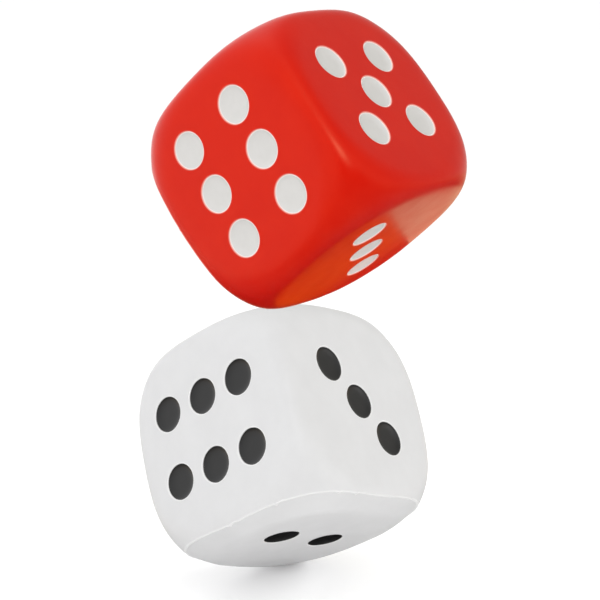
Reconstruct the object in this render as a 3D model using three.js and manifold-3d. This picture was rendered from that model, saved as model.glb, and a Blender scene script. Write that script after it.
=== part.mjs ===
// A pair of giant foam dice for lawn games: a white die on the ground, tipped on one corner,
// and a red die of the same make resting on top of it.
// Millimetres, +Z up. The origin is on the ground, under the middle of the pair.
//
// Each die is a soft foam block under a tougher skin. The skin is moulded in two pieces: a tub
// that covers five sides, and a lid that closes the side with two pips. Every pip is its own
// thin dished inlay, set in a shallow round recess in the skin.

import * as THREE from 'three';
import { mergeVertices } from 'three/addons/utils/BufferGeometryUtils.js';
import Module from 'manifold-3d';

// ---- Driving dimensions of one die (mm) ----
const DIE_SIDE = 160;
const HALF_SIDE = DIE_SIDE / 2;
const EDGE_SQUARENESS = 15.8; // exponent of the rounded cube: higher is sharper along the edges
const CORNER_BALL_RADIUS = 114.9; // the eight corners follow this ball
const CORNER_BLEND = 10.5; // width of the soft change from flat side to ball corner

const SKIN_THICKNESS = 5;
const PARTING_DEPTH = 73.2; // the tub meets the lid this far below the middle of the die
const CLEARANCE = 0.3; // between any two pieces that touch

const PIP_RADIUS = 13.4;
const PIP_RECESS_DEPTH = 3.4;
const PIP_RIM_THICKNESS = 2.8;
const PIP_CENTRE_THICKNESS = 1.0;

// ---- Where the pips sit on each side (mm, across and along the side) ----
// The spread is from the middle of a pattern out to its outer pips. The shift is how far the
// moulding sets the whole pattern off the middle of its side.
const PIP_PATTERNS = {
  one: { spread: [0, 0], shift: [0, 0] },
  two: { spread: [0, 24.4], shift: [-0.3, 0.6] },
  three: { spread: [26.9, 25.4], shift: [0.3, -0.7] },
  four: { spread: [28.6, 28.6], shift: [0, 0] },
  five: { spread: [28.4, 28.8], shift: [-1.5, -0.9] },
  six: { spread: [37.7, 26.8], shift: [-0.9, -0.3] },
};

// ---- How the two dice lie (degrees and mm) ----
const WHITE_TURN = { heading: -33.6, pitch: -30.7, roll: -20.5 };
const RED_TURN = { heading: -36.1, pitch: 49.8, roll: 1.1 };
const RED_FROM_WHITE = { right: 19.3, back: -21.6, up: 218.0 };

// ---- Fineness of the facets ----
const SKIN_DIVISIONS = 12;
const CORE_DIVISIONS = 8;
const PIP_SEGMENTS = 20;

const wasm = await Module();
wasm.setup();

// ---- Materials ----
function foamMaterial(colour) {
  return new THREE.MeshStandardMaterial({ color: colour, roughness: 0.9, metalness: 0 });
}

function skinMaterial(colour) {
  return new THREE.MeshStandardMaterial({ color: colour, roughness: 0.45, metalness: 0 });
}

function pipMaterial(colour) {
  return new THREE.MeshStandardMaterial({ color: colour, roughness: 0.55, metalness: 0 });
}

// ---- From a three.js geometry to a solid and back ----
function solidFrom(geometry) {
  const bare = geometry.clone();
  bare.deleteAttribute('normal');
  bare.deleteAttribute('uv');
  const merged = mergeVertices(bare, 1e-3);
  const corners = merged.index.array;
  const triangles = [];
  for (let first = 0; first < corners.length; first += 3) {
    const [a, b, c] = corners.slice(first, first + 3);
    if (a !== b && b !== c && c !== a) {
      triangles.push(a, b, c);
    }
  }
  return new wasm.Manifold(new wasm.Mesh({
    numProp: 3,
    vertProperties: new Float32Array(merged.attributes.position.array),
    triVerts: new Uint32Array(triangles),
  }));
}

function geometryFrom(solid) {
  const mesh = solid.getMesh();
  const geometry = new THREE.BufferGeometry();
  geometry.setAttribute('position', new THREE.BufferAttribute(mesh.vertProperties, 3));
  geometry.setIndex(new THREE.BufferAttribute(mesh.triVerts, 1));
  geometry.computeVertexNormals();
  return geometry;
}

// ---- The die's outer form ----
// How far a point lies outside the die's surface: the surface of a cube with eased edges,
// with its eight corners trimmed softly by a ball.
function distanceOutsideDie(point) {
  const sides = [Math.abs(point.x), Math.abs(point.y), Math.abs(point.z)];
  const farthest = Math.max(...sides);
  let sum = 0;
  for (const side of sides) {
    sum += (side / farthest) ** EDGE_SQUARENESS;
  }
  const outsideCube = farthest * sum ** (1 / EDGE_SQUARENESS) - HALF_SIDE;
  const outsideBall = point.length() - CORNER_BALL_RADIUS;
  const share = THREE.MathUtils.clamp(0.5 + (outsideCube - outsideBall) / (2 * CORNER_BLEND), 0, 1);
  const blend = CORNER_BLEND * share * (1 - share);
  return outsideCube * share + outsideBall * (1 - share) + blend;
}

// The point in one direction from the die's middle that is a given depth under its surface.
function pointAtDepth(direction, depth) {
  const unit = direction.clone().normalize();
  let inner = HALF_SIDE / 2;
  let outer = 2 * HALF_SIDE;
  while (outer - inner > 1e-5) {
    const middle = (inner + outer) / 2;
    if (distanceOutsideDie(unit.clone().multiplyScalar(middle)) < -depth) {
      inner = middle;
    } else {
      outer = middle;
    }
  }
  return unit.multiplyScalar((inner + outer) / 2);
}

// A closed block of the die's form, a given depth under the outer surface. The grid lines
// of a cube are drawn towards its edges, where the form bends, and pushed out to the form.
function blockGeometry(depth, divisions) {
  const geometry = new THREE.BoxGeometry(2, 2, 2, divisions, divisions, divisions);
  const positions = geometry.attributes.position;
  const direction = new THREE.Vector3();
  for (let vertex = 0; vertex < positions.count; vertex++) {
    direction.fromBufferAttribute(positions, vertex);
    for (const axis of ['x', 'y', 'z']) {
      direction[axis] = Math.sin(direction[axis] * Math.PI / 2);
    }
    const point = pointAtDepth(direction, depth);
    positions.setXYZ(vertex, point.x, point.y, point.z);
  }
  return geometry;
}

// ---- Pips ----
// The six sides of the die, as the number of pips and the turn that carries a pattern drawn
// on the top side to it.
const SIDES = [
  { count: 'one', turn: new THREE.Euler(-Math.PI / 2, 0, 0) },
  { count: 'two', turn: new THREE.Euler(Math.PI, 0, 0) },
  { count: 'three', turn: new THREE.Euler(0, Math.PI / 2, 0) },
  { count: 'four', turn: new THREE.Euler(0, -Math.PI / 2, 0) },
  { count: 'five', turn: new THREE.Euler(0, 0, 0) },
  { count: 'six', turn: new THREE.Euler(Math.PI / 2, 0, 0) },
];

// Which places of the three-by-three pip layout each side uses, counted from its middle.
const FOUR_CORNERS = [[-1, -1], [1, -1], [-1, 1], [1, 1]];
const PIP_PLACES = {
  one: [[0, 0]],
  two: [[0, -1], [0, 1]],
  three: [[-1, -1], [0, 0], [1, 1]],
  four: FOUR_CORNERS,
  five: [...FOUR_CORNERS, [0, 0]],
  six: [[-1, -1], [0, -1], [1, -1], [-1, 1], [0, 1], [1, 1]],
};

// The middle of each pip on one side, in that side's own plane.
function pipCentres(count) {
  const { spread, shift } = PIP_PATTERNS[count];
  return PIP_PLACES[count].map(([column, row]) => [
    shift[0] + column * spread[0],
    shift[1] + row * spread[1],
  ]);
}

// A round body about the Z axis, from a profile of [radius, height] pairs that starts and
// ends on the axis.
function roundGeometry(profile) {
  const points = profile.map(([radius, height]) => new THREE.Vector2(radius, height));
  const geometry = new THREE.LatheGeometry(points, PIP_SEGMENTS);
  geometry.rotateX(Math.PI / 2);
  return geometry;
}

// The tool that cuts one recess, drawn at the middle of the top side.
function recessGeometry() {
  const floor = HALF_SIDE - PIP_RECESS_DEPTH;
  const above = HALF_SIDE + PIP_RECESS_DEPTH;
  return roundGeometry([[0, floor], [PIP_RADIUS, floor], [PIP_RADIUS, above], [0, above]]);
}

// One inlay, thinner in the middle than at its rim, drawn at the middle of the top side.
function pipGeometry() {
  const bottom = HALF_SIDE - PIP_RECESS_DEPTH + CLEARANCE;
  const radius = PIP_RADIUS - CLEARANCE;
  return roundGeometry([
    [0, bottom],
    [radius, bottom],
    [radius, bottom + PIP_RIM_THICKNESS],
    [0, bottom + PIP_CENTRE_THICKNESS],
  ]);
}

// Carries a geometry from the middle of the top side to one pip's place on one side.
function placedOnSide(geometry, side, [across, along]) {
  const turn = new THREE.Matrix4().makeRotationFromEuler(side.turn);
  return geometry.clone().translate(across, along, 0).applyMatrix4(turn);
}

// ---- Skin ----
// A block that covers the lid's end of the die, up to a given height.
function lidEnd(height) {
  const reach = 2 * DIE_SIDE;
  return solidFrom(new THREE.BoxGeometry(reach, reach, reach).translate(0, 0, height - reach / 2));
}

// The whole skin, hollow inside and with a recess cut for every pip.
function skinSolid() {
  let skin = solidFrom(blockGeometry(0, SKIN_DIVISIONS));
  for (const side of SIDES) {
    for (const centre of pipCentres(side.count)) {
      skin = skin.subtract(solidFrom(placedOnSide(recessGeometry(), side, centre)));
    }
  }
  return skin.subtract(solidFrom(blockGeometry(SKIN_THICKNESS, CORE_DIVISIONS)));
}

// ---- One die ----
function addPiece(die, name, geometry, material) {
  const mesh = new THREE.Mesh(geometry, material);
  mesh.name = name;
  die.add(mesh);
}

function makeDie(name, foamColour, skinColour, pipColour) {
  const die = new THREE.Group();
  const skin = skinSolid();
  const skinFinish = skinMaterial(skinColour);
  const pipFinish = pipMaterial(pipColour);
  const core = solidFrom(blockGeometry(SKIN_THICKNESS + CLEARANCE, CORE_DIVISIONS));
  const tub = skin.subtract(lidEnd(-PARTING_DEPTH + CLEARANCE / 2));
  const lid = skin.intersect(lidEnd(-PARTING_DEPTH - CLEARANCE / 2));
  addPiece(die, `${name}_foam_core`, geometryFrom(core), foamMaterial(foamColour));
  addPiece(die, `${name}_tub_skin`, geometryFrom(tub), skinFinish);
  addPiece(die, `${name}_lid_skin`, geometryFrom(lid), skinFinish);
  for (const side of SIDES) {
    pipCentres(side.count).forEach((centre, index) => {
      const pip = solidFrom(placedOnSide(pipGeometry(), side, centre));
      addPiece(die, `${name}_pip_${side.count}_${index + 1}`, geometryFrom(pip), pipFinish);
    });
  }
  return die;
}

// Turns a die to its heading about the vertical, then its pitch, then its roll.
function turnDie(die, turn) {
  const radians = THREE.MathUtils.degToRad;
  die.rotation.set(radians(turn.roll), radians(turn.pitch), radians(turn.heading), 'ZYX');
}

// ---- The pair ----
function makePair() {
  const pair = new THREE.Group();
  const whiteDie = makeDie('white', '#efeae0', '#e6e6e6', '#3a3a3a');
  const redDie = makeDie('red', '#d9574a', '#d42a18', '#dededa');
  turnDie(whiteDie, WHITE_TURN);
  turnDie(redDie, RED_TURN);
  redDie.position.set(RED_FROM_WHITE.right, RED_FROM_WHITE.back, RED_FROM_WHITE.up);
  pair.add(whiteDie, redDie);

  // Stand the pair on the ground with the origin under its middle.
  pair.updateMatrixWorld(true);
  const extent = new THREE.Box3().setFromObject(pair, true);
  const middle = extent.getCenter(new THREE.Vector3());
  pair.position.set(-middle.x, -middle.y, -extent.min.z);
  return pair;
}

export default makePair();
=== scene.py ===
"""A pair of giant foam dice: a red one resting on a white one, on a plain pale floor."""
import math

import bmesh
import bpy
import numpy as np
from mathutils import Euler, Matrix, Vector, noise
from mathutils.geometry import delaunay_2d_cdt


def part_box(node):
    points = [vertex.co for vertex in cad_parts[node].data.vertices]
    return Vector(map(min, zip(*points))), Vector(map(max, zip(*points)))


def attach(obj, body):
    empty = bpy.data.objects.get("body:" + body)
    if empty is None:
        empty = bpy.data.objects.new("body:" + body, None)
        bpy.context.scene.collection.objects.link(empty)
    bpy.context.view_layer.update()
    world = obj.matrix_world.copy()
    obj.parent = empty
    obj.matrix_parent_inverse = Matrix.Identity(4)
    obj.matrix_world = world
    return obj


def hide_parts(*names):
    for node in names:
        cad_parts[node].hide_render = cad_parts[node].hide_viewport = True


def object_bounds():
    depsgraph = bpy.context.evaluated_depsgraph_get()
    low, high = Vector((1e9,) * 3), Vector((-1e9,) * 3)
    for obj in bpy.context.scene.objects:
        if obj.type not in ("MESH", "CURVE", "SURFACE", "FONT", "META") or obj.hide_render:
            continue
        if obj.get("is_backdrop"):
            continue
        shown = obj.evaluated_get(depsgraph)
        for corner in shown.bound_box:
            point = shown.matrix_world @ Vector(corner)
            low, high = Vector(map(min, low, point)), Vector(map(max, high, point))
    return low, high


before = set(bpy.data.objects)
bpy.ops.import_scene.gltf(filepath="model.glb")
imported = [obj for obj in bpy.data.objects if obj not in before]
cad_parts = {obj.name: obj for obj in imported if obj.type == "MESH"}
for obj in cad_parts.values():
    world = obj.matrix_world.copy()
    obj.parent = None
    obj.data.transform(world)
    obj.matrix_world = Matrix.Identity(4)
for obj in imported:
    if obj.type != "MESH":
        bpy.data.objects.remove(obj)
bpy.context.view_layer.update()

MM = 0.001

# ---- The camera: where it stands from the white die's middle, in metres, and how it looks ----
CAMERA_OFFSET = (0.0129, -1.2216, 0.3687)
CAMERA_DEGREES_DOWN = 12.0
CAMERA_LENS = 99.4
CAMERA_SENSOR = 36.0

# ---- One die, in millimetres in its own frame, five pips up ----
HALF_SIDE = 80.0
EDGE_SQUARENESS = 15.8
CORNER_BALL_RADIUS = 114.9
CORNER_BLEND = 10.5
SKIN_THICKNESS = 5.0
CORE_GAP = 0.3

# How the dice lie: heading about the vertical, then pitch, then roll, in degrees.
DICE_TURNS = {"white": (-33.6, -30.7, -20.5), "red": (-36.1, 49.8, 1.1)}

# The turn, in degrees, that carries a pattern drawn on the top side to each side.
SIDE_TURNS = {
    "one": (-90, 0, 0),
    "two": (180, 0, 0),
    "three": (0, 90, 0),
    "four": (0, -90, 0),
    "five": (0, 0, 0),
    "six": (90, 0, 0),
}

# ---- Pips ----
PIP_RADIUS = 13.4
PIP_RECESS_DEPTH = 3.4
PIP_SEGMENTS = 72
# For each side: the spread from the middle of the pattern to its outer pips, and how far the
# whole pattern sits off the middle of its side, both across and along.
PATTERNS = {
    "one": ((0.0, 0.0), (0.0, 0.0)),
    "two": ((0.0, 24.4), (-0.3, 0.6)),
    "three": ((26.9, 25.4), (0.3, -0.7)),
    "four": ((28.6, 28.6), (0.0, 0.0)),
    "five": ((28.4, 28.8), (-1.5, -0.9)),
    "six": ((37.7, 26.8), (-0.9, -0.3)),
}
# Which places of the three-by-three pip layout each side uses, counted from its middle.
FOUR_CORNERS = [(-1, -1), (1, -1), (-1, 1), (1, 1)]
PIP_PLACES = {
    "one": [(0, 0)],
    "two": [(0, -1), (0, 1)],
    "three": [(-1, -1), (0, 0), (1, 1)],
    "four": FOUR_CORNERS,
    "five": [*FOUR_CORNERS, (0, 0)],
    "six": [(-1, -1), (0, -1), (1, -1), (-1, 1), (0, 1), (1, 1)],
}
# The grid of a side is left open this far outside each pip, to make room for its recess.
RECESS_MARGIN = 2.6
# The wall of a pip's recess from the flat side inwards, as (distance outside the pip's
# radius, depth, paleness). The skin is paler where it turns down into the recess.
RECESS_WALL = [
    (1.9, 0.0, 0),
    (1.1, -0.03, 0),
    (0.75, -0.05, 0.6),
    (0.4, 0.02, 0.8),
    (0.15, 0.22, 1),
    (0.03, 0.6, 1),
    (0.02, PIP_RECESS_DEPTH, 0),
]
# How tightly that paleness keeps to the recess: the red skin shows a narrower ring.
PALE_TIGHTNESS = {"white": 0.5, "red": 4.0}
# The innermost ring of vertices on a recess's floor or a pip's back, as a share of its radius.
FLOOR_RING_SHARE = 0.5

# The pip's dish: its depth under the flat side at the rim, how much deeper its middle is, how
# flat that middle is, and the shares of the radius that have a ring of vertices.
DISH_RIM_DEPTH = 0.45
DISH_DEPTH = 1.9
DISH_FLATNESS = 5
DISH_SHARES = (0.3, 0.5, 0.65, 0.76, 0.84, 0.9, 0.94)
# The pip's eased rim and its wall, as (inset from the edge, depth).
PIP_BACK_DEPTH = 3.35
PIP_RIM = [(0.3, 0.47), (0.12, 0.54), (0.0, 0.75), (0.0, PIP_BACK_DEPTH)]
PIP_GAP = 0.03

# ---- Small unevenness of the moulding, as (size in millimetres, rate of the waves) ----
PIP_EDGE_WAVES = [(0.16, 1.6), (0.07, 7.0)]
SKIN_WAVES = [(0.16, 1.0), (0.035, 4.1)]
SKIN_WAVE_LENGTH = 42.0
# These keep the waves of one pip or die unlike those of the next.
LETTER_STEP = 1.7
PIP_STEP = 9.3
DIE_STEP = {"white": 0.0, "red": 40.0}

# ---- The parting line between tub and lid ----
SEAM_DEPTH = 72.6
SEAM_WAVE = 1.2
SEAM_WAVES_ROUND = 4
SEAM_STRAY = 0.35
SEAM_STRAY_RATE = 6
SEAM_STRAY_PLACE = 3.1
SEAM_GAP = 0.05
# The skin above and below follows the line's wave, fading out with this reach, up to a limit.
SEAM_REACH = 7.0
SEAM_BAND = 2.5 * SEAM_REACH
# Nearer to the die's axis than this the skin takes no shape from the line, and the lid's step
# comes in over this width.
SEAM_FADE_START = 60.0
SEAM_FADE_WIDTH = 12.0
# Rows of vertices beside the parting line, in millimetres from it.
SEAM_ROWS = (0.35, 0.8, 1.5, 2.6, 4.5)

# Burrs left on the parting line: bearing in degrees, half width, and how far the line strays
# there towards the lid, or towards the tub where that is negative, in millimetres.
BURRS = [
    (269, 1.3, 1.3),
    (273, 1.6, -0.5),
    (300, 1.2, 1.5),
    (303.5, 0.8, -0.6),
    (331, 1.4, 0.9),
    (342, 0.9, 1.0),
    (27, 1.3, 1.0),
    (75, 1.1, 1.1),
    (118, 0.9, 0.9),
    (163, 1.2, 1.3),
    (205, 1.3, 0.8),
]
# How strong the burrs are on each die: they show plainly on the white one only.
BURR_SHARE = {"white": 1.0, "red": 0.25}
# How much of a burr's size also stands out from the skin.
BURR_STAND_OUT = 0.5
# Extra rows of vertices across each burr, and how near to it a face has to be to get them.
BURR_ROWS = (-1.8, -1.2, -0.7, -0.3, 0.1, 0.5, 1.0, 1.6)
BURR_CUT_HEIGHT = 3
BURR_CUT_WIDTH = 4

# The tub ends in a small lip. The lid starts a step inside it and falls a little farther in.
SEAM_LIP = 0.38
SEAM_LIP_WIDTH = 0.55
LID_STEP = 0.35
LID_FALL = 0.3
LID_FALL_LENGTH = 1.2
# Below the parting line the lid slopes straight in to its side: this far in per way down.
LID_SLOPE = math.tan(math.radians(72.0))
LID_EASE = 2.0
# The slope is cut in full up to about 80 degrees either side of this bearing, and fades out
# by 120 degrees. The rest of the lid stays round. Both limits are cosines.
LID_SLOPE_BEARING = math.radians(-45.0)
LID_SLOPE_FULL = 0.2
LID_SLOPE_END = -0.5

# ---- Meshes ----
SKIN_CELLS = 80
INNER_CELLS = 32
LINE_CROWDING = 0.4
HALVINGS = 36
SMOOTH_ANGLE = math.radians(50.0)
MERGE_DISTANCE = 1e-3
CUT_TOLERANCE = 1e-4
FILL_TOLERANCE = 1e-7
# The triangle filler's setting that keeps only the triangles inside the loops.
FILL_INSIDE = 1
SURFACE_TOLERANCE = 0.02
# Added to a point's distances from the middle planes, so that none of them is zero.
TINY = 1e-9
# The mesh attribute that marks where the skin or a pip is paler: 1 is palest. On the tub's
# lip at the parting line it marks a painted highlight.
PALE_AND_LIP_HIGHLIGHT = "pale"

# ---- Materials: colours, (low, high) roughness, and the strength and tint of the gloss ----
# The pale colour of a skin goes on round each recess, and on the tub's lip at the parting line, where it
# is a painted highlight.
SKIN_LOOKS = {
    "white": {
        "dark": (0.58, 0.58, 0.585),
        "light": (0.6, 0.6, 0.605),
        "pale": (0.72, 0.72, 0.72),
        "roughness": (0.45, 0.55),
        "specular": 0.2,
        "tint": (1, 1, 1),
    },
    "red": {
        "dark": (0.535, 0.0035, 0.0003),
        "light": (0.555, 0.0055, 0.0005),
        "pale": (0.75, 0.36, 0.31),
        "roughness": (0.3, 0.35),
        "specular": 0.33,
        "tint": (1, 0.55, 0.3),
    },
}
PIP_LOOKS = {
    "white": {
        "name": "dark_pip_layer",
        "dark": (0.0105, 0.0105, 0.011),
        "light": (0.013, 0.013, 0.0135),
        "pale": (0.03, 0.03, 0.03),
        "roughness": (0.42, 0.5),
    },
    "red": {
        "name": "light_pip_layer",
        "dark": (0.545, 0.535, 0.52),
        "light": (0.565, 0.555, 0.54),
        "pale": (0.78, 0.7, 0.68),
        "roughness": (0.5, 0.62),
    },
}
FOAM_LOOKS = {
    "white": {"dark": (0.6, 0.58, 0.53), "light": (0.82, 0.8, 0.75)},
    "red": {"dark": (0.4, 0.06, 0.04), "light": (0.7, 0.2, 0.15)},
}
PIP_SPECULAR = 0.35
FOAM_SPECULAR = 0.2
FOAM_ROUGHNESS = 0.95

# Each texture: its scale per metre, its detail and its roughness.
SKIN_MOTTLE = (34.0, 8.0, 0.62)
SKIN_GLOSS_PATCHES = (60.0, 4.0, 0.5)
SKIN_PORES = (210.0, 3.0, 0.5)
SKIN_GRAIN = (900.0, 4.0, 0.6)
PIP_CLOUD = (120.0, 6.0, 0.6)
PIP_TOOTH = (1100.0, 3.0, 0.5)
FOAM_CELL_SCALE = 500.0
# The stretch of each texture's value over which a colour or a roughness changes.
MOTTLE_SPAN = (0.36, 0.64)
PATCH_SPAN = (0.35, 0.65)
CLOUD_SPAN = (0.35, 0.65)
CLOUD_GLOSS_SPAN = (0.3, 0.7)
CELL_SPAN = (0.1, 0.7)
# Each bump: its strength, and its height in metres.
PORE_BUMP = (0.12, 0.0004)
GRAIN_BUMP = (0.2, 0.0002)
TOOTH_BUMP = (0.25, 0.0002)
CELL_BUMP = (0.6, 0.0006)

# ---- The floor: how far it reaches, in metres, its colour and how much it glows ----
FLOOR_REACH = 30.0
FLOOR_COLOUR = (0.95, 0.95, 0.955)
FLOOR_GLOW = 0.08

# ---- The room ----
WHITE = (1, 1, 1)
ROOM_BRIGHTNESS = 1.3
# How the room is shaded: a way, and the room's colours by how far a direction points that way.
ROOM_SHADES = [
    # Dark below, a little to the right and towards the camera.
    ((0.2, -0.1, -0.975), [(0.05, WHITE), (0.2, (0.85, 0.6, 0.35)), (0.36, (0, 0, 0))]),
    # Dimmer to the right, behind and above.
    ((0.67, 0.45, 0.59), [(0.5, WHITE), (0.85, (0.41, 0.4, 0.36))]),
    # A dim patch in front, a little to the right and nearly level.
    ((0.35, -0.93, -0.05), [(0.7, WHITE), (0.9, (0.05, 0.05, 0.05))]),
]

# ---- Softboxes: place, the spot each one faces, width and height, power and colour ----
DICE_LIGHTS = {
    "streak_above_camera": ((0.456, -1.376, 1.148), (0.0, 0.0, 0.3), (0.62, 0.34), 9.0, WHITE),
}
FLOOR_LIGHTS = {
    "low_right_behind": ((0.8, 0.65, 0.25), (0.0, 0.0, 0.0), (0.3, 0.3), 10.5, WHITE),
    "low_left": ((-0.95, -0.1, 0.12), (0.0, 0.0, 0.0), (0.25, 0.25), 3.5, WHITE),
}
WHITE_DIE_LIGHTS = {
    "table_glow": ((0.05, -0.35, -0.35), (0.0, -0.08, 0.07), (0.4, 0.4), 0.55, WHITE),
    "right_fill": ((1.5, -0.2, 0.35), (0.0, 0.0, 0.12), (0.7, 0.7), 4.7, (0.95, 0.97, 1)),
}

# ---- Glowing cards beside the red die's three side, in that die's frame ----
# The ways along and across that side, and the way that each card's back faces.
CARD_ALONG = Vector((0, 0.84, -0.54))
CARD_ACROSS = Vector((0, 0.54, 0.84))
CARD_BACK_WAY = Vector((0.23, 0.82, -0.53)).normalized()
# For each card: how far along, across and over the side it stands, in millimetres, its width
# and height in metres, and how brightly it glows in red, green and blue.
CARDS = {
    "orange_card": (85, -34, 26, (0.122, 0.028), (1.5, 0.24, 0.0)),
    "peach_card": (85, 63, 24, (0.07, 0.05), (0.9, 0.95, 0.58)),
}


# ---------------------------------------------------------------- camera
def die_centre(name):
    low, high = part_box(f"{name}_foam_core")
    return (low + high) / 2


def make_camera():
    """The camera looks a little down on the pair from in front."""
    data = bpy.data.cameras.new("camera")
    data.sensor_width = CAMERA_SENSOR
    data.lens = CAMERA_LENS
    camera = bpy.data.objects.new("camera", data)
    bpy.context.scene.collection.objects.link(camera)
    camera.location = die_centre("white") + Vector(CAMERA_OFFSET)
    camera.rotation_euler = (math.radians(90.0 - CAMERA_DEGREES_DOWN), 0.0, 0.0)
    bpy.context.scene.camera = camera


# ---------------------------------------------------------------- the die's form
def outside_die(points):
    """How far each point lies outside a cube with eased edges and ball corners."""
    sides = np.abs(points) + TINY
    farthest = sides.max(axis=1)
    ratios = sides / farthest[:, None]
    cube = farthest * (ratios ** EDGE_SQUARENESS).sum(axis=1) ** (1 / EDGE_SQUARENESS) - HALF_SIDE
    ball = np.linalg.norm(points, axis=1) - CORNER_BALL_RADIUS
    share = np.clip(0.5 + (cube - ball) / (2 * CORNER_BLEND), 0, 1)
    return cube * share + ball * (1 - share) + CORNER_BLEND * share * (1 - share)


def last_inside(is_inside, near, far):
    """The distances, between near and far, where is_inside turns false."""
    for _ in range(HALVINGS):
        middle = (near + far) / 2
        inside = is_inside(middle)
        near = np.where(inside, middle, near)
        far = np.where(inside, far, middle)
    return (near + far) / 2


def on_die(directions, depth=0.0):
    """The points in these directions that lie a depth under the die's surface."""
    directions = np.asarray(directions, float)
    units = directions / np.linalg.norm(directions, axis=1)[:, None]
    near = np.full(len(units), HALF_SIDE / 2)
    far = np.full(len(units), HALF_SIDE * 2)
    distances = last_inside(lambda middle: outside_die(units * middle[:, None]) < -depth, near, far)
    return units * distances[:, None]


def form_radii(bearings, drops):
    """The die's radius about its vertical axis at each bearing, at these depths below its middle."""
    def is_inside(middle):
        points = np.stack([middle * np.cos(bearings), middle * np.sin(bearings), -drops], axis=1)
        return outside_die(points) < 0

    near = np.zeros(len(bearings))
    far = np.full(len(bearings), 2 * HALF_SIDE)
    return last_inside(is_inside, near, far)


def side_matrix(side):
    return np.array(Euler([math.radians(a) for a in SIDE_TURNS[side]]).to_matrix())


def grid_lines(cells):
    """Grid lines across one side, closer together near its edges."""
    even = np.linspace(-1, 1, cells + 1)
    return HALF_SIDE * ((1 - LINE_CROWDING) * even + LINE_CROWDING * np.sin(even * math.pi / 2))


def side_grid(cells):
    """A grid of points on the cube's top side, and the four corners of each of its cells."""
    lines = grid_lines(cells)
    across, along = np.meshgrid(lines, lines, indexing="ij")
    points = np.stack([across.ravel(), along.ravel(), np.full(across.size, HALF_SIDE)], axis=1)
    size = cells + 1
    corners = [(i * size + j, (i + 1) * size + j, (i + 1) * size + j + 1, i * size + j + 1)
               for i in range(cells) for j in range(cells)]
    return points, corners


def pip_centres(side):
    spread, shift = PATTERNS[side]
    return [(shift[0] + column * spread[0], shift[1] + row * spread[1])
            for column, row in PIP_PLACES[side]]


def pip_angles():
    return np.arange(PIP_SEGMENTS) * (2 * math.pi / PIP_SEGMENTS)


# ---------------------------------------------------------------- unevenness
def waves_at(place, waves):
    return sum(size * noise.noise(place * rate) for size, rate in waves)


def edge_stray(name, index, angle):
    """How far the edge of one pip strays from a true circle, in millimetres."""
    seed = sum(ord(letter) for letter in name) * LETTER_STEP + index * PIP_STEP
    return waves_at(Vector((math.cos(angle), math.sin(angle), seed)), PIP_EDGE_WAVES)


def unevenness(die, point):
    """Soft waves in the moulded skin, well under half a millimetre."""
    place = Vector(point) / SKIN_WAVE_LENGTH + Vector((DIE_STEP[die], 0, 0))
    return waves_at(place, SKIN_WAVES)


# ---------------------------------------------------------------- mesh helpers
def loop_edges(start, count):
    """The edges of a closed loop of vertices that are numbered from start."""
    return [(start + i, start + (i + 1) % count) for i in range(count)]


def fill_between(bm, outer, inner, plane):
    """Triangles in the band between two closed loops of vertices, drawn flat by plane()."""
    verts = [*outer, *inner]
    flat = [Vector(plane(v.co)) for v in verts]
    edges = loop_edges(0, len(outer)) + loop_edges(len(outer), len(inner))
    points, _, faces, originals, _, _ = delaunay_2d_cdt(flat, edges, [], FILL_INSIDE, FILL_TOLERANCE)
    hole = flat[len(outer):]
    for face in faces:
        middle = sum((points[i] for i in face), Vector((0, 0))) / len(face)
        if not inside_loop(middle, hole):
            bm.faces.new([verts[originals[i][0]] for i in face])


def inside_loop(point, loop):
    inside = False
    for i, a in enumerate(loop):
        b = loop[i - 1]
        if (a.y > point.y) != (b.y > point.y):
            if point.x < (b.x - a.x) * (point.y - a.y) / (b.y - a.y) + a.x:
                inside = not inside
    return inside


def open_rim(bm, apart_from=frozenset()):
    """The mesh's one open loop, as vertices in order, apart from the edges left out."""
    bm.edges.index_update()
    left = {edge for edge in bm.edges if edge.is_boundary and edge not in apart_from}
    edge = min(left, key=lambda e: e.index)
    first, vert = edge.verts
    left.discard(edge)
    loop = [first]
    while vert != first:
        loop.append(vert)
        edge = next(e for e in vert.link_edges if e in left)
        left.discard(edge)
        vert = edge.other_vert(vert)
    return loop


def ring_points(centre, radii, angles, depth, turn):
    """A ring round a pip's centre, at a depth under the surface of its side."""
    flat = [(centre[0] + r * math.cos(a), centre[1] + r * math.sin(a), HALF_SIDE)
            for r, a in zip(radii, angles)]
    points = on_die(flat)
    points[:, 2] -= depth
    return points @ turn.T


def join_rings(bm, rings):
    for outer, inner in zip(rings, rings[1:]):
        for i in range(len(outer)):
            bm.faces.new((outer[i - 1], outer[i], inner[i], inner[i - 1]))


def cut_at(bm, height, keep=0):
    """Cuts a mesh at a height, and keeps all of it, or what is above (1) or below (-1)."""
    geometry = bm.verts[:] + bm.edges[:] + bm.faces[:]
    bmesh.ops.bisect_plane(bm, geom=geometry, dist=CUT_TOLERANCE, plane_co=(0, 0, height),
                           plane_no=(0, 0, 1), clear_outer=keep < 0, clear_inner=keep > 0)


def die_matrix(die):
    """Carries a die's own frame, in metres, to where that die lies."""
    heading, pitch, roll = (Matrix.Rotation(math.radians(degrees), 4, axis)
                            for degrees, axis in zip(DICE_TURNS[die], "ZYX"))
    return Matrix.Translation(die_centre(die)) @ (heading @ pitch @ roll)


def new_piece(name, bm, die, material):
    """Makes a piece of a mesh drawn in millimetres in its die's frame, and rides it."""
    bmesh.ops.recalc_face_normals(bm, faces=bm.faces)
    bm.transform(die_matrix(die) @ Matrix.Scale(MM, 4))
    mesh = bpy.data.meshes.new(name)
    bm.to_mesh(mesh)
    bm.free()
    mesh.shade_smooth()
    mesh.set_sharp_from_angle(angle=SMOOTH_ANGLE)
    mesh.materials.append(material)
    piece = bpy.data.objects.new(name, mesh)
    bpy.context.scene.collection.objects.link(piece)
    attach(piece, f"{die}_die")
    return piece


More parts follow.
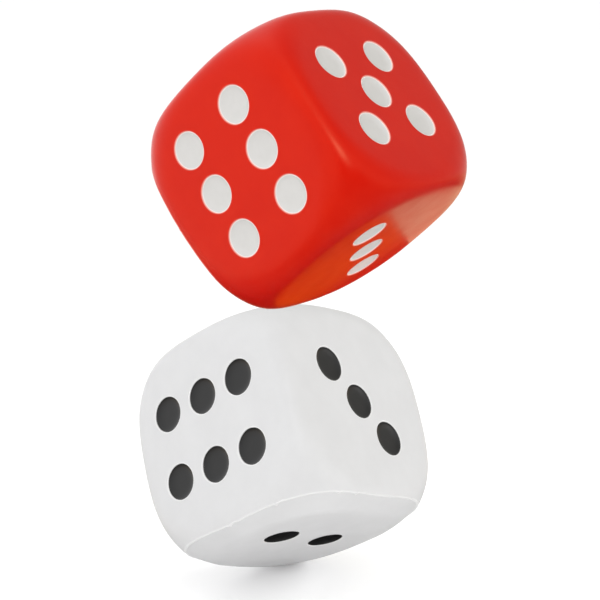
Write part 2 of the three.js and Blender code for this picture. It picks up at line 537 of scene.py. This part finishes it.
# ---------------------------------------------------------------- skin: its sides and recesses
def part_cells(points, cells, centres):
    """The grid cells to keep, and for each pip the cells that its recess opens."""
    near = np.zeros(len(points), int)
    for number, centre in enumerate(centres, 1):
        distances = np.hypot(points[:, 0] - centre[0], points[:, 1] - centre[1])
        near[distances < PIP_RADIUS + RECESS_MARGIN] = number
    kept = []
    opened = [[] for _ in centres]
    for corners in cells:
        number = max(near[c] for c in corners)
        if number:
            opened[number - 1].append(corners)
        else:
            kept.append(corners)
    return kept, opened


def add_side(bm, die, side):
    """One side of the skin's outer face: a grid, opened for the recess of each pip."""
    turn = side_matrix(side)
    flat, cells = side_grid(SKIN_CELLS)
    centres = pip_centres(side)
    kept, opened = part_cells(flat, cells, centres)
    points = on_die(flat) @ turn.T
    used = sorted({c for corners in kept for c in corners})
    verts = {c: bm.verts.new(points[c]) for c in used}
    for corners in kept:
        bm.faces.new([verts[c] for c in corners])
    for number, (centre, gap) in enumerate(zip(centres, opened), 1):
        add_recess(bm, die, side, number, centre, hole_loop(gap, verts), turn)


def hole_loop(cells, verts):
    """The vertices, in order, round a patch of grid cells that was left out."""
    directed = {(corners[i - 1], corners[i]) for corners in cells for i in range(len(corners))}
    follow = {a: b for a, b in directed if (b, a) not in directed}
    start = min(follow)
    loop = [start]
    while follow[loop[-1]] != start:
        loop.append(follow[loop[-1]])
    return [verts[c] for c in loop]


def add_recess(bm, die, side, number, centre, hole, turn):
    """The eased edge, wall and floor of one recess, joined to the hole in the grid."""
    angles = pip_angles()
    strays = [edge_stray(die + side, number, a) for a in angles]
    rings = []
    for beyond, depth, _ in RECESS_WALL:
        share = max(0.0, 1 - beyond)
        radii = [PIP_RADIUS + beyond + share * stray for stray in strays]
        rings.append(ring_points(centre, radii, angles, depth, turn))
    floor_radii = [PIP_RADIUS * FLOOR_RING_SHARE] * PIP_SEGMENTS
    rings.append(ring_points(centre, floor_radii, angles, PIP_RECESS_DEPTH, turn))
    ring_verts = [[bm.verts.new(p) for p in ring] for ring in rings]
    pale = bm.verts.layers.float[PALE_AND_LIP_HIGHLIGHT]
    for (_, _, paleness), ring in zip(RECESS_WALL, ring_verts):
        for vert in ring:
            vert[pale] = paleness ** PALE_TIGHTNESS[die]
    back = turn.T
    fill_between(bm, hole, ring_verts[0], lambda co: (back @ np.array(co))[:2])
    join_rings(bm, ring_verts)
    bm.faces.new(ring_verts[-1])


# ---------------------------------------------------------------- skin: the parting line
def burr_at(die, x, y):
    """How far a burr carries the parting line towards the lid, at this bearing."""
    bearing = math.degrees(math.atan2(y, x))
    size = 0.0
    for burr_bearing, half_width, height in BURRS:
        turn = (bearing - burr_bearing + 180) % 360 - 180
        distance = math.radians(turn) * math.hypot(x, y)
        size += height * math.exp(-((distance / half_width) ** 2))
    return BURR_SHARE[die] * size


def seam_height(die, x, y):
    """The parting line's height over the die's middle, at this bearing: it is negative."""
    bearing = math.atan2(y, x)
    across = SEAM_STRAY_RATE * math.cos(bearing)
    along = SEAM_STRAY_RATE * math.sin(bearing)
    stray = SEAM_STRAY * noise.noise(Vector((across, along, SEAM_STRAY_PLACE)))
    wave = SEAM_WAVE * math.cos(SEAM_WAVES_ROUND * bearing)
    return -(SEAM_DEPTH + wave + stray + burr_at(die, x, y))


def seam_lift(die, x, y, away, way):
    """The lip and burrs on the tub's side of the parting line, and the lid's fall-away edge."""
    if way < 0:
        near_edge = min(1.0, (math.hypot(x, y) - SEAM_FADE_START) / SEAM_FADE_WIDTH)
        return -near_edge * (LID_STEP + LID_FALL * (1 - math.exp(-away / LID_FALL_LENGTH)))
    stand_out = SEAM_LIP + BURR_STAND_OUT * abs(burr_at(die, x, y))
    return stand_out * math.exp(-((away / SEAM_LIP_WIDTH) ** 2))


def seam_moves(die, coords, way):
    """How far each vertex shifts up or down with the parting line, and how far it lifts out."""
    shifts = np.zeros(len(coords))
    lifts = np.zeros(len(coords))
    for i, (x, y, z) in enumerate(coords):
        away = abs(z + SEAM_DEPTH)
        if away < SEAM_BAND and math.hypot(x, y) > SEAM_FADE_START:
            wave = seam_height(die, x, y) + SEAM_DEPTH
            shifts[i] = (wave + way * SEAM_GAP / 2) * math.exp(-((away / SEAM_REACH) ** 2))
            lifts[i] = seam_lift(die, x, y, away, way)
    return shifts, lifts


def shift_on_surface(coords, shifts):
    """Moves the skin's surface vertices up or down, and back onto the die's form."""
    moved = coords.copy()
    moved[:, 2] += shifts
    on_surface = np.abs(outside_die(coords)) < SURFACE_TOLERANCE
    return np.where((on_surface & (shifts != 0))[:, None], on_die(moved), coords)


def straighten_lid(coords):
    """Cuts the rounding below the parting line down to a straight slope, on one half."""
    bearings = np.arctan2(coords[:, 1], coords[:, 0])
    drops = SEAM_DEPTH + SEAM_WAVE * np.cos(SEAM_WAVES_ROUND * bearings)
    radii = form_radii(bearings, drops)
    lengths = np.linalg.norm(coords, axis=1)
    units = coords / lengths[:, None]
    across = np.hypot(units[:, 0], units[:, 1])
    slope = (radii + LID_SLOPE * drops) / (across - LID_SLOPE * units[:, 2])
    share = np.clip(0.5 + 0.5 * (slope - lengths) / LID_EASE, 0, 1)
    eased = lengths * share + slope * (1 - share) - LID_EASE * share * (1 - share)
    facing = np.cos(bearings - LID_SLOPE_BEARING)
    cut = np.clip((facing - LID_SLOPE_END) / (LID_SLOPE_FULL - LID_SLOPE_END), 0, 1)
    cut = np.where(coords[:, 2] < 0, cut, 0.0)
    return units * (lengths * (1 - cut) + eased * cut)[:, None]


def shape_outer(bm, die, way):
    """Carries the parting line's wave, lip, step and burrs, and the skin's slow unevenness, and marks
    the tub's lip for a painted highlight.
    """
    coords = np.array([v.co for v in bm.verts])
    shifts, lifts = seam_moves(die, coords, way)
    coords = shift_on_surface(coords, shifts)
    if way < 0:
        coords = straighten_lid(coords)
    outward = coords / np.linalg.norm(coords, axis=1)[:, None]
    level = coords.copy()
    level[:, 2] = 0
    level /= np.maximum(np.linalg.norm(level, axis=1), 1)[:, None]
    slow = np.array([unevenness(die, c) for c in coords])
    coords = coords + outward * slow[:, None] + level * lifts[:, None]
    # The tub's lip is marked pale as far as it stands out: a painted highlight along the parting line.
    pale = bm.verts.layers.float[PALE_AND_LIP_HIGHLIGHT]
    for vert, co, lift in zip(bm.verts, coords, lifts):
        vert.co = co
        vert[pale] = max(vert[pale], min(1.0, lift / SEAM_LIP))


def cut_across_burr(bm, bearing):
    """Adds rows of vertices across one burr, only on the faces close to it."""
    outward = Vector((math.cos(bearing), math.sin(bearing), 0))
    along = Vector((-outward.y, outward.x, 0))
    for row in BURR_ROWS:
        near = []
        for face in bm.faces:
            middle = face.calc_center_median()
            level_with_seam = abs(middle.z + SEAM_DEPTH) < BURR_CUT_HEIGHT
            beside_burr = abs(middle.dot(along)) < BURR_CUT_WIDTH and middle.dot(outward) > 0
            if level_with_seam and beside_burr:
                near.append(face)
        edges = list({e for f in near for e in f.edges})
        verts = list({v for f in near for v in f.verts})
        bmesh.ops.bisect_plane(bm, geom=near + edges + verts, dist=CUT_TOLERANCE,
                               plane_co=along * row, plane_no=along)


# ---------------------------------------------------------------- tub, lid and core
def block(depth):
    """A closed block of the die's form, a depth under its surface."""
    bm = bmesh.new()
    flat, cells = side_grid(INNER_CELLS)
    for side in SIDE_TURNS:
        points = on_die(flat, depth) @ side_matrix(side).T
        verts = [bm.verts.new(p) for p in points]
        for corners in cells:
            bm.faces.new([verts[c] for c in corners])
    bmesh.ops.remove_doubles(bm, verts=bm.verts, dist=MERGE_DISTANCE)
    return bm


def outer_face(die, way):
    """The outer face of the tub (1) or the lid (-1), open at the parting line."""
    bm = bmesh.new()
    bm.verts.layers.float.new(PALE_AND_LIP_HIGHLIGHT)
    for side in SIDE_TURNS:
        add_side(bm, die, side)
    bmesh.ops.remove_doubles(bm, verts=bm.verts, dist=MERGE_DISTANCE)
    cut_at(bm, -SEAM_DEPTH, keep=way)
    for row in SEAM_ROWS:
        cut_at(bm, -SEAM_DEPTH + way * row)
    for bearing, _, _ in BURRS:
        cut_across_burr(bm, math.radians(bearing))
    shape_outer(bm, die, way)
    return bm


def add_inner_face(bm, way):
    """Adds the skin's inner face, and gives its open loop at the parting line."""
    inner = block(SKIN_THICKNESS)
    cut_at(inner, -SEAM_DEPTH, keep=way)
    bmesh.ops.reverse_faces(inner, faces=inner.faces)
    mesh = bpy.data.meshes.new("inner")
    inner.to_mesh(mesh)
    inner.free()
    outer_edges = set(bm.edges)
    bm.from_mesh(mesh)
    bpy.data.meshes.remove(mesh)
    return open_rim(bm, apart_from=outer_edges)


def skin_part(die, way):
    """The tub (1) or the lid (-1): its outer and inner faces, joined at the parting line."""
    bm = outer_face(die, way)
    outer_rim = open_rim(bm)
    inner_rim = add_inner_face(bm, way)
    for vert in inner_rim:
        vert.co.z = seam_height(die, vert.co.x, vert.co.y) + way * SEAM_GAP / 2
    fill_between(bm, outer_rim, inner_rim, lambda co: (co.x, co.y))
    return bm


# ---------------------------------------------------------------- pips
def dish_depth(share):
    """The depth of a pip's dished face at a share of its radius."""
    return DISH_RIM_DEPTH + DISH_DEPTH * (1 - share ** DISH_FLATNESS)


def pip_mesh(die, side, number, centre):
    """A thin inlay with a dished face and an eased rim, on the floor of its recess."""
    bm = bmesh.new()
    pale = bm.verts.layers.float.new(PALE_AND_LIP_HIGHLIGHT)
    turn = side_matrix(side)
    angles = pip_angles()
    radii = PIP_RADIUS - PIP_GAP + np.array([edge_stray(die + side, number, a) for a in angles])
    dish = [ring_points(centre, share * radii, angles, dish_depth(share), turn) for share in DISH_SHARES]
    wall = [ring_points(centre, radii - inset, angles, depth, turn) for inset, depth in PIP_RIM]
    back = ring_points(centre, FLOOR_RING_SHARE * radii, angles, PIP_BACK_DEPTH, turn)
    ring_verts = [[bm.verts.new(p) for p in ring] for ring in (*dish, *wall, back)]
    for ring in ring_verts[len(dish):]:
        for vert in ring:
            vert[pale] = 1.0
    join_rings(bm, ring_verts)
    middle = bm.verts.new(ring_points(centre, [0.0], [0.0], dish_depth(0), turn)[0])
    innermost = ring_verts[0]
    for i in range(PIP_SEGMENTS):
        bm.faces.new((innermost[i - 1], innermost[i], middle))
    bm.faces.new(ring_verts[-1])
    return bm


# ---------------------------------------------------------------- materials
def new_material(name):
    material = bpy.data.materials.new(name)
    material.use_nodes = True
    return material, material.node_tree, material.node_tree.nodes["Principled BSDF"]


def add_noise(tree, kind):
    """The value of a noise texture of one of the kinds named above, fixed to the object."""
    scale, detail, roughness = kind
    coordinates = tree.nodes.new("ShaderNodeTexCoord")
    texture = tree.nodes.new("ShaderNodeTexNoise")
    texture.inputs["Scale"].default_value = scale
    texture.inputs["Detail"].default_value = detail
    texture.inputs["Roughness"].default_value = roughness
    tree.links.new(coordinates.outputs["Object"], texture.inputs["Vector"])
    return texture.outputs["Fac"]


def add_ramp(tree, source, stops):
    """Turns a value into a colour, by (value, colour) stops in rising order."""
    ramp = tree.nodes.new("ShaderNodeValToRGB")
    elements = ramp.color_ramp.elements
    while len(elements) < len(stops):
        elements.new(0.5)
    for element, (position, colour) in zip(elements, stops):
        element.position = position
        element.color = (*colour, 1)
    tree.links.new(source, ramp.inputs["Fac"])
    return ramp.outputs["Color"]


def add_roughness(tree, shader, source, span, limits):
    """Varies the roughness between two limits with a texture's value."""
    stops = [(value, (limit,) * 3) for value, limit in zip(span, limits)]
    tree.links.new(add_ramp(tree, source, stops), shader.inputs["Roughness"])


def add_bump(tree, shader, height, kind, previous=None):
    """Adds a bump to the shader, on top of a previous one if there is one."""
    strength, distance = kind
    bump = tree.nodes.new("ShaderNodeBump")
    bump.inputs["Strength"].default_value = strength
    bump.inputs["Distance"].default_value = distance
    tree.links.new(height, bump.inputs["Height"])
    if previous is not None:
        tree.links.new(previous.outputs["Normal"], bump.inputs["Normal"])
    tree.links.new(bump.outputs["Normal"], shader.inputs["Normal"])
    return bump


def add_pale_and_lip_highlight(tree, colour, pale_colour):
    """Blends a colour to a paler one where the mesh is marked as pale; on the tub's lip that is a
    painted highlight.
    """
    mark = tree.nodes.new("ShaderNodeAttribute")
    mark.attribute_name = PALE_AND_LIP_HIGHLIGHT
    blend = tree.nodes.new("ShaderNodeMix")
    blend.data_type = "RGBA"
    blend.inputs["B"].default_value = (*pale_colour, 1)
    tree.links.new(mark.outputs["Fac"], blend.inputs["Factor"])
    tree.links.new(colour, blend.inputs["A"])
    return blend.outputs["Result"]


def add_colour(tree, shader, source, span, look):
    """Colours a surface from dark to light with a texture's value, and pale where marked."""
    colour = add_ramp(tree, source, list(zip(span, (look["dark"], look["light"]))))
    tree.links.new(add_pale_and_lip_highlight(tree, colour, look["pale"]), shader.inputs["Base Color"])


def skin_material(name, look):
    """Satin moulded foam skin: faint mottling, fine pores and a soft grain."""
    material, tree, shader = new_material(name)
    shader.inputs["Specular IOR Level"].default_value = look["specular"]
    shader.inputs["Specular Tint"].default_value = (*look["tint"], 1)
    add_colour(tree, shader, add_noise(tree, SKIN_MOTTLE), MOTTLE_SPAN, look)
    add_roughness(tree, shader, add_noise(tree, SKIN_GLOSS_PATCHES), PATCH_SPAN, look["roughness"])
    pores = add_bump(tree, shader, add_noise(tree, SKIN_PORES), PORE_BUMP)
    add_bump(tree, shader, add_noise(tree, SKIN_GRAIN), GRAIN_BUMP, pores)
    return material


def pip_material(look):
    """The coloured layer in a dimple: slightly cloudy, with a fine tooth and a paler rim."""
    material, tree, shader = new_material(look["name"])
    shader.inputs["Specular IOR Level"].default_value = PIP_SPECULAR
    cloud = add_noise(tree, PIP_CLOUD)
    add_colour(tree, shader, cloud, CLOUD_SPAN, look)
    add_roughness(tree, shader, cloud, CLOUD_GLOSS_SPAN, look["roughness"])
    add_bump(tree, shader, add_noise(tree, PIP_TOOTH), TOOTH_BUMP)
    return material


def foam_material(name, look):
    """Open-looking soft foam, all small round cells."""
    material, tree, shader = new_material(name)
    shader.inputs["Roughness"].default_value = FOAM_ROUGHNESS
    shader.inputs["Specular IOR Level"].default_value = FOAM_SPECULAR
    coordinates = tree.nodes.new("ShaderNodeTexCoord")
    texture = tree.nodes.new("ShaderNodeTexVoronoi")
    texture.inputs["Scale"].default_value = FOAM_CELL_SCALE
    tree.links.new(coordinates.outputs["Object"], texture.inputs["Vector"])
    cells = texture.outputs["Distance"]
    colour = add_ramp(tree, cells, list(zip(CELL_SPAN, (look["dark"], look["light"]))))
    tree.links.new(colour, shader.inputs["Base Color"])
    add_bump(tree, shader, cells, CELL_BUMP)
    return material


# ---------------------------------------------------------------- the dice
def make_skin(die):
    """The tub and the lid, which stand for the two soft skins of the CAD model."""
    material = skin_material(f"{die}_foam_skin", SKIN_LOOKS[die])
    pieces = []
    for part, way in (("tub", 1), ("lid", -1)):
        piece = new_piece(f"{die}_skin_{part}", skin_part(die, way), die, material)
        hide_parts(f"{die}_{part}_skin")
        pieces.append(piece)
    return pieces


def make_core(die):
    material = foam_material(f"{die}_foam", FOAM_LOOKS[die])
    core = new_piece(f"{die}_foam_block", block(SKIN_THICKNESS + CORE_GAP), die, material)
    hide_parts(f"{die}_foam_core")
    return core


def make_pips(die):
    material = pip_material(PIP_LOOKS[die])
    pips = []
    for side in SIDE_TURNS:
        for number, centre in enumerate(pip_centres(side), 1):
            bm = pip_mesh(die, side, number, centre)
            inlay = new_piece(f"{die}_inlay_{side}_{number}", bm, die, material)
            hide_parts(f"{die}_pip_{side}_{number}")
            pips.append(inlay)
    return pips


def make_die(die):
    return [*make_skin(die), make_core(die), *make_pips(die)]


# ---------------------------------------------------------------- stage and light
def make_floor():
    """A plain pale floor that glows a little and doesn't mirror in the dice."""
    bm = bmesh.new()
    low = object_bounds()[0][2]
    corners = [(-1, -1), (1, -1), (1, 1), (-1, 1)]
    bm.faces.new([bm.verts.new((x * FLOOR_REACH, y * FLOOR_REACH, low)) for x, y in corners])
    mesh = bpy.data.meshes.new("floor")
    bm.to_mesh(mesh)
    bm.free()
    floor = bpy.data.objects.new("floor", mesh)
    bpy.context.scene.collection.objects.link(floor)
    material, _, shader = new_material("pale_floor")
    shader.inputs["Base Color"].default_value = (*FLOOR_COLOUR, 1)
    shader.inputs["Roughness"].default_value = 1.0
    shader.inputs["Specular IOR Level"].default_value = 0.0
    shader.inputs["Emission Color"].default_value = (*WHITE, 1)
    shader.inputs["Emission Strength"].default_value = FLOOR_GLOW
    mesh.materials.append(material)
    floor.visible_glossy = False
    floor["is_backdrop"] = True
    return floor


def room_shade(tree, way, stops):
    """A colour ramp over the room, by how far each direction points a given way."""
    direction = tree.nodes.new("ShaderNodeTexCoord")
    towards = tree.nodes.new("ShaderNodeVectorMath")
    towards.operation = "DOT_PRODUCT"
    towards.inputs[1].default_value = way
    tree.links.new(direction.outputs["Generated"], towards.inputs[0])
    return add_ramp(tree, towards.outputs["Value"], stops)


def multiply_colours(tree, first, second):
    product = tree.nodes.new("ShaderNodeMix")
    product.data_type = "RGBA"
    product.blend_type = "MULTIPLY"
    product.inputs["Factor"].default_value = 1.0
    tree.links.new(first, product.inputs["A"])
    tree.links.new(second, product.inputs["B"])
    return product.outputs["Result"]


def make_room():
    """A white room all round, dimmer to the right behind and in front, that turns dark below.
    The dice show that in their gloss, because the floor itself doesn't mirror in them."""
    world = bpy.data.worlds.new("soft_white_room")
    world.use_nodes = True
    bpy.context.scene.world = world
    tree = world.node_tree
    shade, *others = [room_shade(tree, way, stops) for way, stops in ROOM_SHADES]
    for other in others:
        shade = multiply_colours(tree, shade, other)
    background = tree.nodes["Background"]
    tree.links.new(shade, background.inputs["Color"])
    background.inputs["Strength"].default_value = ROOM_BRIGHTNESS


def add_softbox(name, place, target, size, power, colour):
    """A rectangular lamp that faces a spot and that the camera doesn't see."""
    data = bpy.data.lights.new(name, "AREA")
    data.shape = "RECTANGLE"
    data.size, data.size_y = size
    data.energy = power
    data.color = colour
    lamp = bpy.data.objects.new(name, data)
    lamp.location = place
    lamp.rotation_euler = (Vector(target) - Vector(place)).to_track_quat("-Z", "Y").to_euler()
    lamp.visible_camera = False
    bpy.context.scene.collection.objects.link(lamp)
    return lamp


def gather(name, pieces):
    """A collection that light can be limited to."""
    group = bpy.data.collections.new(name)
    for piece in pieces:
        group.objects.link(piece)
    return group


def light_scene(floor, dice):
    """A softbox over the camera for the dice, and two low ones for the floor under them."""
    dice_group = gather("dice_light_receivers", dice)
    for name, setting in DICE_LIGHTS.items():
        add_softbox(name, *setting).light_linking.receiver_collection = dice_group
    floor_group = gather("floor_light_receivers", [floor])
    for name, setting in FLOOR_LIGHTS.items():
        add_softbox(name, *setting).light_linking.receiver_collection = floor_group


def light_apart(red_pieces, white_pieces):
    """The red die throws neither shade nor colour on the white one, and neither die mirrors
    in the other."""
    for piece in red_pieces:
        piece.visible_diffuse = False
        piece.visible_shadow = False
        piece.visible_glossy = False
    for piece in white_pieces:
        piece.visible_glossy = False


def keep_light_to(lamp, group):
    """Lets a lamp light only one group, and be shaded by that group alone."""
    lamp.light_linking.receiver_collection = group
    lamp.light_linking.blocker_collection = group


def light_red_die(red_pieces):
    """Two small glowing cards that only the red die sees, warm at its three side."""
    group = gather("red_die_light_receivers", red_pieces)
    upright = CARD_BACK_WAY.cross(CARD_ACROSS)
    turn = Matrix((CARD_ACROSS, upright, CARD_BACK_WAY)).transposed().to_4x4()
    for name, (along, across, height, size, glow) in CARDS.items():
        spot = CARD_ALONG * along + CARD_ACROSS * across + Vector((HALF_SIDE + height, 0, 0))
        brightest = max(glow)
        power = math.pi * size[0] * size[1] * brightest
        colour = [part / brightest for part in glow]
        lamp = add_softbox(name, (0, 0, 0), (0, 0, 1), size, power, colour)
        lamp.matrix_world = die_matrix("red") @ Matrix.Translation(spot * MM) @ turn
        keep_light_to(lamp, group)


def light_white_die(white_pieces):
    """Two soft lights that only the white die sees: a glow as of lit ground, and a fill at the
    right."""
    group = gather("white_die_light_receivers", white_pieces)
    for name, setting in WHITE_DIE_LIGHTS.items():
        keep_light_to(add_softbox(name, *setting), group)


bpy.context.scene.view_settings.view_transform = "Standard"
make_camera()
white_pieces = make_die("white")
red_pieces = make_die("red")
make_room()
light_scene(make_floor(), white_pieces + red_pieces)
light_apart(red_pieces, white_pieces)
light_red_die(red_pieces)
light_white_die(white_pieces)
